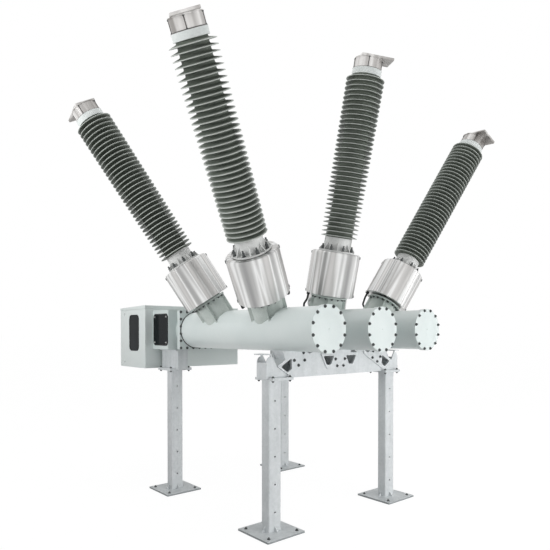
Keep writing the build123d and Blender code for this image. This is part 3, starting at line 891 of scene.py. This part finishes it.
for name, place in bushingPlaces.items():
    cap = softCopy("terminal_cap_" + name, "cap_" + name, 0.0015, place, capShape["turns"][name])
    fit(cap, capMetal, "cap_metal", "terminal_cap_" + name)
    circle, rods = capShape["rodCircle"], capShape["rods"]
    nuts = ringSpots(place, circle, rods, capShape["upperNut"], 0.5, down=True)
    nuts += ringSpots(place, circle, rods, capShape["lowerNut"], 0.5)
    fitBolts("capNuts_" + name, smallBolt, nuts)
fitCopy("bushing_collars", "collarCastings", 0.0006, castMetal, "cast_collar")
collarSpots = []
neckSpots = []
for place in bushingPlaces.values():
    collarSpots += flangeSpots("collar", place)
    neckSpots += flangeSpots("neck", place, down=True)
fitBolts("collarBolts", bigBolt, collarSpots)
fitCopy("bushing_necks", "neckCastings", 0.0008, neckPaint, "tank_paint")
fitBolts("neckBolts", bolt, neckSpots)
fitCopy("blank_cover", "blankLid", 0.002, tankPaint, "tank_paint")
fitBolts("blankBolts", bolt, flangeSpots("blank", portPlace(layout["blank"])))
print("necks, collars and caps made")


# tanks with their front covers
coverShape = {
    "front": -1.588, "radius": 0.223, "thick": 0.028, "ease": 0.003, "hub": 0.150, "hubStep": 0.0015,
    "hubFall": 0.004, "middleHole": 0.004, "bolts": 12, "circle": 0.209, "steps": 96,
}


def makeCover(values):
    radius, thick, ease = values["radius"], values["thick"], values["ease"]
    hub, face, hole = values["hub"], values["thick"] - values["hubStep"], values["middleHole"]
    # the face inside the hub line is turned a little lower, and a small hole is left in the middle
    profile = [
        (hole, 0.0), (radius, 0.0), (radius, thick - ease), (radius - ease, thick), (hub, thick),
        (hub - values["hubFall"], face), (hole, face),
    ]
    piece = turnedPiece("coverMaster", profile, values["steps"])
    smooth(piece, 25)
    return piece


for tank in layout["tanks"]:
    fitCopy("tank_barrel_" + tank, "barrel_" + tank, 0.0025, tankPaint, "tank_paint")
coverMaster = makeCover(coverShape)
coverSpots = []
for tank in layout["tanks"]:
    base = tankPlace(tank, False)
    back = moved(0, coverShape["front"] + coverShape["thick"], 0) @ faceFront
    fit(placedCopy(coverMaster, base @ back, "cover_" + tank), tankPaint, "tank_paint", "tank_cover_" + tank)
    front = moved(0, coverShape["front"], 0) @ faceFront
    coverSpots += ringSpots(base @ front, coverShape["circle"], coverShape["bolts"], 0.0, 0.5)
discard(coverMaster)
fitBolts("coverBolts", bolt, coverSpots)

# the square plates behind the tanks, their round necks into the linkage housing, and a dark ring
# where each tank meets its plate: painted shade for the gap between them
adapterShape = {
    "half": 0.230, "front": 0.640, "rear": 0.700, "tankEnd": 0.695, "housing": 0.780, "radius": 0.205,
    "bore": 0.173, "ease": 0.003, "steps": 64, "boltInset": 0.016, "boltsPerSide": 6,
    "shadowRingRadius": 0.2205, "shadowRingWidth": 0.012, "shadowRingStart": 0.007, "shadowRingEnd": 0.0005,
}


def ringPiece(name, inner, outer, low, high, steps):
    # a plain ring that lies along +Y
    piece = turnedPiece(name, [(inner, low), (outer, low), (outer, high), (inner, high)], steps)
    piece.data.transform(faceBack)
    return piece


def makeAdapter(values):
    half, front, rear = values["half"], values["front"], values["rear"]
    plateSize = (2 * half, rear - front, 2 * half)
    plate = makeBlock(plateSize, values["ease"], 2, (0, (front + rear) / 2, 0))
    neck = ringPiece(
        "adapterNeck", values["bore"], values["radius"], values["tankEnd"], values["housing"], values["steps"]
    )
    piece = joined("adapterMaster", [plate, neck])
    smooth(piece, 30)
    return piece


def adapterSpots(values):
    # bolts along all four sides of the plate's front, each corner once
    inset = values["half"] - values["boltInset"]
    gaps = values["boltsPerSide"] - 1
    face = moved(0, values["front"], 0) @ faceFront
    return [
        face @ turned(90 * quarter, "Z") @ moved(-inset + 2 * inset * i / gaps, inset, 0)
        for quarter in range(4) for i in range(gaps)
    ]


# a black ring just inside the tank's edge, as painted shade for the gap between tank and plate
def makeShadowRing(values, place):
    outer, front = values["shadowRingRadius"], values["front"]
    shadowRing = ringPiece(
        "tankGasket", outer - values["shadowRingWidth"], outer, front - values["shadowRingStart"],
        front - values["shadowRingEnd"], values["steps"],
    )
    shadowRing.data.transform(place)
    return shadowRing


adapterMaster = makeAdapter(adapterShape)
bases = [tankPlace(tank, False) for tank in layout["tanks"]]
adapters = [placedCopy(adapterMaster, base, "adapterCopy") for base in bases]
shadowRings = [makeShadowRing(adapterShape, base) for base in bases]
discard(adapterMaster)
fit(joined("tankGaskets", shadowRings), blackRubber, "conduit_black")
# the adapter plates take the darker housing paint as painted shade from the tanks that overhang them
fit(joined("adapterPlates", adapters), housingPaint, "tank_paint", "tank_adapters")
fitBolts("adapterBolts", bolt, [base @ spot for base in bases for spot in adapterSpots(adapterShape)])
fitCopy("tank_feet", "tankFeet", 0.001, zinc, "tank_paint")
print("tanks made")


# legs, beam and brackets
for node in ("leg_front_left", "leg_front_right", "leg_rear_left", "leg_rear_right"):
    fitCopy(node, "post_" + node[4:], 0.0008, zinc, "galvanised_steel")
for node, name, width in (
    ("front_beam", "beamWebs", 0.0004),
    ("beam_seats", "seatPlates", 0.0005),
    ("rear_brackets", "rearBrackets", 0.0008),
):
    fitCopy(node, name, width, zinc, "galvanised_steel")
seatShape = {
    "bolts": ((-0.072, -0.311), (0.072, -0.311), (-0.048, -0.383), (0.048, -0.383)),
    "front": -1.022, "rear": -0.848,
}
seatSpots = []
for tank in layout["tanks"]:
    for x, z in seatShape["bolts"]:
        seatSpots.append(tankPlace(tank) @ moved(x, seatShape["front"], z) @ faceFront)
        seatSpots.append(tankPlace(tank) @ moved(x, seatShape["rear"], z) @ faceBack)
fitBolts("seatBolts", bolt, seatSpots)

# each leg is bolted to what it carries through its top plate, and anchored through its sole plate;
# "cover" is the thickness of what lies on the top plate
legShape = {
    "x": 0.885, "y": 0.935, "top": 1.5, "plate": 0.016, "anchor": 0.1765, "sole": 0.020,
    "front": {"shift": 0.040, "spread": 0.108, "cover": 0.010},
    "rear": {"shift": 0, "spread": 0.124, "cover": 0.014},
}
legSpots = []
for sideX, sideY, cornerX, cornerY in product((-1, 1), repeat=4):
    row = legShape["front" if sideY < 0 else "rear"]
    x = sideX * (legShape["x"] - row["shift"]) + cornerX * row["spread"]
    y = sideY * legShape["y"] + cornerY * row["spread"]
    legSpots.append(moved(x, y, legShape["top"] + row["cover"]))
    legSpots.append(moved(x, y, legShape["top"] - legShape["plate"]) @ upsideDown)
    anchorX = sideX * legShape["x"] + cornerX * legShape["anchor"]
    anchorY = sideY * legShape["y"] + cornerY * legShape["anchor"]
    legSpots.append(moved(anchorX, anchorY, legShape["sole"]))
fitBolts("legBolts", bolt, legSpots)
print("frame made")


# cabinet, linkage housing and their windows
for node, name, width, finish in (
    ("cabinet_body", "cabinetShell", 0.004, cabinetPaint),
    ("cabinet_roof", "cabinetRoof", 0.003, cabinetPaint),
    ("cabinet_doors", "cabinetDoors", 0.002, cabinetPaint),
    ("linkage_housing", "linkageBox", 0.004, housingPaint),
):
    fitCopy(node, name, width, finish, "cabinet_paint")
for node, name in (("linkage_windows", "linkagePanes"), ("cabinet_window", "cabinetPane")):
    fitCopy(node, name, 0.001, darkGlass, "dark_window")

# "x" is counted outwards from the middle, and "lap" is how far a gasket's opening stands in from
# its pane's edge
paneShape = {
    "housing": {"x": 1.0665, "y": 0.965, "z": 1.980, "width": 0.352, "height": 0.380, "corner": 0.046,
                "lap": 0.009, "border": 0.009},
    "cabinet": {"x": 1.1575, "y": 1.497, "z": 1.942, "width": 0.278, "height": 0.460, "corner": 0.058,
                "lap": 0.006, "border": 0.006},
    "thick": 0.005, "screwInset": 0.034, "screwSink": 0.001,
}


def makeGasket(name, pane, side, thick):
    # a flat rounded frame: a slab with round corners, inset, and its middle opened
    lap, border = pane["lap"], pane["border"]
    outerWidth = pane["width"] - 2 * lap + 2 * border
    outerHeight = pane["height"] - 2 * lap + 2 * border
    bpy.ops.object.select_all(action="DESELECT")
    bpy.ops.mesh.primitive_cube_add(size=1, location=(0, 0, 0), scale=(thick, outerWidth, outerHeight))
    piece = bpy.context.object
    bakePlace(piece)
    pickEdges(piece, lambda a, b: abs(a.x - b.x) > thick / 2)
    bpy.ops.mesh.bevel(offset=pane["corner"] - lap + border, segments=6)
    editing(False)
    # its two flat faces look along X, and once they are inset their middles stand on its axis
    pickFaces(piece, lambda centre, normal: abs(normal.x) > 0.9)
    bpy.ops.mesh.inset(thickness=border, use_individual=True)
    editing(False)
    pickFaces(piece, lambda centre, normal: abs(normal.x) > 0.9 and centre.yz.length < 0.001)
    bpy.ops.mesh.bridge_edge_loops()
    editing(False)
    piece.name = name
    smooth(piece, 30)
    piece.data.transform(moved(side * pane["x"], pane["y"], pane["z"]))
    return piece


def screwSpots(values, side):
    pane = values["housing"]
    x = side * (pane["x"] - values["screwSink"])
    reachY = pane["width"] / 2 - values["screwInset"]
    reachZ = pane["height"] / 2 - values["screwInset"]
    return [
        moved(x, pane["y"] + cornerY * reachY, pane["z"] + cornerZ * reachZ) @ turned(side * 90, "Y")
        for cornerY, cornerZ in product((-1, 1), repeat=2)
    ]


gaskets = [makeGasket("housingGasket", paneShape["housing"], side, paneShape["thick"]) for side in (-1, 1)]
gaskets.append(makeGasket("cabinetGasket", paneShape["cabinet"], -1, paneShape["thick"]))
fit(joined("windowGaskets", gaskets), blackRubber, "conduit_black")
screws = [placedCopy(smallBolt, spot, "boltCopy") for side in (-1, 1) for spot in screwSpots(paneShape, side)]
fit(joined("paneScrews", screws), castMetal, "cap_metal")
for node, name, width, finish, slot in (
    ("cabinet_latches", "latches", 0.002, capMetal, "cap_metal"),
    ("door_handles", "doorHandles", 0.002, capMetal, "cap_metal"),
    ("conduit_tubes", "conduits", 0.0012, blackRubber, "conduit_black"),
    ("conduit_glands", "conduitGlands", 0.0012, blackRubber, "conduit_black"),
):
    fitCopy(node, name, width, finish, slot)
discard(bolt, bigBolt, smallBolt)
print("boxes and conduits made")


# a white studio: "level" and "ceiling" are the world's strength from the horizon and from above,
# and "rise" is where the one goes over to the other
studio = {
    "floorSize": 400, "floorDrop": 0.001, "floorShare": 0.85, "floorGlow": 1.12, "floorRough": 0.9,
    "paperCloud": 0.5, "paperDark": (0.50, 0.50, 0.50, 1), "paperLight": (0.54, 0.54, 0.54, 1),
    "level": 0.47, "ceiling": 0.52, "rise": (0.12, 0.75),
}
lamps = {
    "keyLamp": {"at": (3.6, -8.4, 1.7), "to": (0, -0.5, 1.5), "size": (6.0, 3.2), "power": 262},
    "topLamp": {"at": (-0.5, -1.0, 9.0), "to": (0, 0, 1.8), "size": (6.0, 6.0), "power": 135},
    "leftLamp": {"at": (-8.5, 0.5, 2.9), "to": (0, 0, 4.5), "size": (4.0, 3.0), "power": 70, "spread": 64},
    "lowLamp": {"at": (0.5, -9.0, 0.95), "to": (0, 1.0, 1.6), "size": (5.0, 1.6), "power": 120},
    "stripLamp": {"at": (5.0, -5.2, 3.0), "to": (0, -0.5, 2.4), "size": (0.7, 5.0), "power": 26},
}


def seenDirectly(tree):
    # 1 where a ray from the camera, a gloss or a glass meets the backdrop
    path = tree.nodes.new("ShaderNodeLightPath").outputs
    seen = maths(tree, "ADD", path["Is Camera Ray"], path["Is Glossy Ray"], clamp=True)
    return maths(tree, "ADD", seen, path["Is Transmission Ray"], clamp=True)


def makeFloor(values):
    bpy.ops.object.select_all(action="DESELECT")
    bpy.ops.mesh.primitive_plane_add(size=values["floorSize"], location=(0, 0, -values["floorDrop"]))
    floor = bpy.context.object
    floor.name = "studioFloor"
    finish, tree, shader = newFinish("floorPaper", specular=0.2)
    cloud = noise(tree, objectVector(tree), values["paperCloud"], 2)
    paper = blendColour(tree, cloud, values["paperDark"], values["paperLight"])
    feed(tree, shader.inputs["Base Color"], paper)
    shader.inputs["Roughness"].default_value = values["floorRough"]
    glow = tree.nodes.new("ShaderNodeEmission")
    glow.inputs["Color"].default_value = (1, 1, 1, 1)
    glow.inputs["Strength"].default_value = values["floorGlow"]
    mix = tree.nodes.new("ShaderNodeMixShader")
    feed(tree, mix.inputs[0], maths(tree, "MULTIPLY", seenDirectly(tree), values["floorShare"]))
    tree.links.new(shader.outputs[0], mix.inputs[1])
    tree.links.new(glow.outputs[0], mix.inputs[2])
    tree.links.new(mix.outputs[0], tree.nodes["Material Output"].inputs["Surface"])
    floor.data.materials.append(finish)


def makeWorld(values):
    world = bpy.data.worlds.new("studioWorld")
    bpy.context.scene.world = world
    world.use_nodes = True
    tree = world.node_tree
    back = tree.nodes["Background"]
    back.inputs["Color"].default_value = (1, 1, 1, 1)
    # the backdrop that shows is plain white, and the light it sheds is softer
    direction = tree.nodes.new("ShaderNodeTexCoord").outputs["Generated"]
    soft = spread(tree, heightOf(tree, direction), *values["rise"], values["level"], values["ceiling"])
    feed(tree, back.inputs["Strength"], spread(tree, seenDirectly(tree), 0.0, 1.0, soft, 1.0))


def addLamp(name, values):
    bpy.ops.object.select_all(action="DESELECT")
    aim = (Vector(values["to"]) - Vector(values["at"])).to_track_quat("-Z", "Y").to_euler()
    bpy.ops.object.light_add(type="AREA", location=values["at"], rotation=aim)
    lamp = bpy.context.object
    lamp.name = name
    lamp.data.shape = "RECTANGLE"
    lamp.data.size, lamp.data.size_y = values["size"]
    lamp.data.energy = values["power"]
    lamp.data.spread = radians(values.get("spread", 180))
    return lamp


makeFloor(studio)
makeWorld(studio)
for name, values in lamps.items():
    # only the strip shows as a highlight in the metal
    addLamp(name, values).visible_glossy = name == "stripLamp"
bpy.context.scene.view_settings.view_transform = "Standard"
print("studio set")
